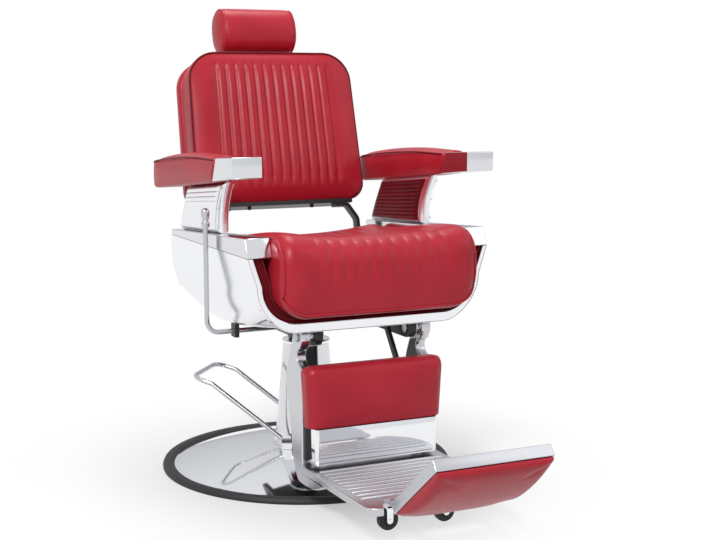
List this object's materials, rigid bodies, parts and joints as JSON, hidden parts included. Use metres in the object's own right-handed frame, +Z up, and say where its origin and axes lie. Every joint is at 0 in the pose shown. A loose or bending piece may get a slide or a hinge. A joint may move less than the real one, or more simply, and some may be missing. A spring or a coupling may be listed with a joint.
{
  "type": "reclining barber chair",
  "caption": "Reclining barber chair on a hydraulic pump, with channelled red seat and back, chrome arms, sliding headrest, legrest and flip-over footrest.",
  "frame": {"origin": "on the floor under the pump's axis", "axes": "+Z up, the sitter faces -Y, +X is the sitter's left"},
  "size_m": [0.7, 1.2733, 1.1084],
  "materials": {
    "chrome": "polished chrome plate",
    "polished_cast_aluminium": "polished casting",
    "ground_steel": "ground bright",
    "black_steel": "satin black paint",
    "black_rubber": "matt moulded",
    "red_leatherette": "coated upholstery cloth with a soft sheen",
    "dark_red_panel": "covered panel with a soft sheen"
  },
  "bodies": {
    "base": {"floor_plate": "ground_steel", "base_cover": "chrome", "edge_ring": "black_rubber", "pump_sleeve": "chrome", "pump_cylinder": "ground_steel", "pump_collar": "chrome", "near_pedal_bracket": "chrome", "far_pedal_bracket": "chrome"},
    "pedal": {"pump_pedal": "chrome", "near_pedal_hub": "black_steel", "far_pedal_hub": "black_steel"},
    "lift": {"piston_rod": "ground_steel", "swivel_block": "black_steel"},
    "seat": {"swivel_head": "black_steel", "seat_base": "black_steel", "back_pivot_tube": "ground_steel", "left_leg_pin": "ground_steel", "right_leg_pin": "ground_steel", "seat_tub": "chrome", "seat_liner": "dark_red_panel", "seat_cushion": "red_leatherette", "left_side_rail": "chrome", "right_side_rail": "chrome", "left_arm_panel": "chrome", "right_arm_panel": "chrome", "left_inner_insert": "dark_red_panel", "right_inner_insert": "dark_red_panel", "left_outer_insert": "chrome", "right_outer_insert": "chrome", "left_arm_pad": "red_leatherette", "right_arm_pad": "red_leatherette", "left_arm_cap": "chrome", "right_arm_cap": "chrome", "lever_bush": "black_steel"},
    "back": {"back_cushion": "red_leatherette", "back_board": "red_leatherette", "back_base_bar": "black_steel", "left_back_bracket": "black_steel", "right_back_bracket": "black_steel", "headrest_sleeve": "ground_steel"},
    "headrest": {"headrest_cushion": "red_leatherette", "headrest_bar": "chrome"},
    "recline_lever": {"recline_rod": "chrome", "recline_knob": "chrome"},
    "legrest": {"left_leg": "polished_cast_aluminium", "right_leg": "polished_cast_aluminium", "cross_tube": "ground_steel", "calf_board": "black_steel", "calf_pad": "red_leatherette", "kick_plate": "chrome", "step_plate": "polished_cast_aluminium", "flip_hinge_pin": "ground_steel", "left_wheel_fork": "chrome", "right_wheel_fork": "chrome"},
    "link": {"leg_link": "black_steel"},
    "flip": {"flip_tray": "chrome", "flip_pad": "red_leatherette"},
    "left_wheel": {"left_wheel": "black_rubber"},
    "right_wheel": {"right_wheel": "black_rubber"}
  },
  "joints": [
    {"name": "seat_lift", "type": "slide", "parent": "base", "child": "lift", "axis": [0, 0, 1], "range_m": [0, 0.15]},
    {"name": "seat_swivel", "type": "hinge", "parent": "lift", "child": "seat", "pos_m": [0, 0, 0.34], "axis": [0, 0, 1], "continuous": true},
    {"name": "back_recline", "type": "hinge", "parent": "seat", "child": "back", "pos_m": [0, 0.12014, 0.50189], "axis": [-1, 0, 0], "range_deg": [0, 45]},
    {"name": "legrest_lift", "type": "hinge", "parent": "seat", "child": "legrest", "pos_m": [0, -0.32, 0.378], "axis": [-1, 0, 0], "range_deg": [0, 50]},
    {"name": "link_swing", "type": "hinge", "parent": "legrest", "child": "link", "pos_m": [0.085, -0.335, 0.283], "axis": [1, 0, 0], "range_deg": [0, 21]},
    {"name": "footrest_flip", "type": "hinge", "parent": "legrest", "child": "flip", "pos_m": [0, -0.702, 0.108], "axis": [-1, 0, 0], "range_deg": [0, 142]},
    {"name": "headrest_slide", "type": "slide", "parent": "back", "child": "headrest", "axis": [0, 0.2334, 0.9724], "range_m": [0, 0.1]},
    {"name": "recline_pull", "type": "hinge", "parent": "seat", "child": "recline_lever", "pos_m": [-0.3025, -0.148, 0.3692], "axis": [-1, 0, 0], "range_deg": [0, 15], "stiffness_Nm_per_rad": 4, "springref_deg": -11.46},
    {"name": "pedal_press", "type": "hinge", "parent": "base", "child": "pedal", "pos_m": [-0.01539, 0.01277, 0.0758], "axis": [-0.6388, -0.7694, 0], "range_deg": [0, 14], "stiffness_Nm_per_rad": 10, "springref_deg": -14.32},
    {"name": "left_wheel_spin", "type": "hinge", "parent": "legrest", "child": "left_wheel", "pos_m": [0.066, -0.574, 0.0342], "axis": [0, 1, 0], "continuous": true},
    {"name": "right_wheel_spin", "type": "hinge", "parent": "legrest", "child": "right_wheel", "pos_m": [-0.066, -0.574, 0.0342], "axis": [0, 1, 0], "continuous": true}
  ],
  "couplings": [
    {"joint": "legrest_lift", "follows": "back_recline", "ratio": 1.1111},
    {"joint": "link_swing", "follows": "back_recline", "ratio": 0.4644}
  ]
}
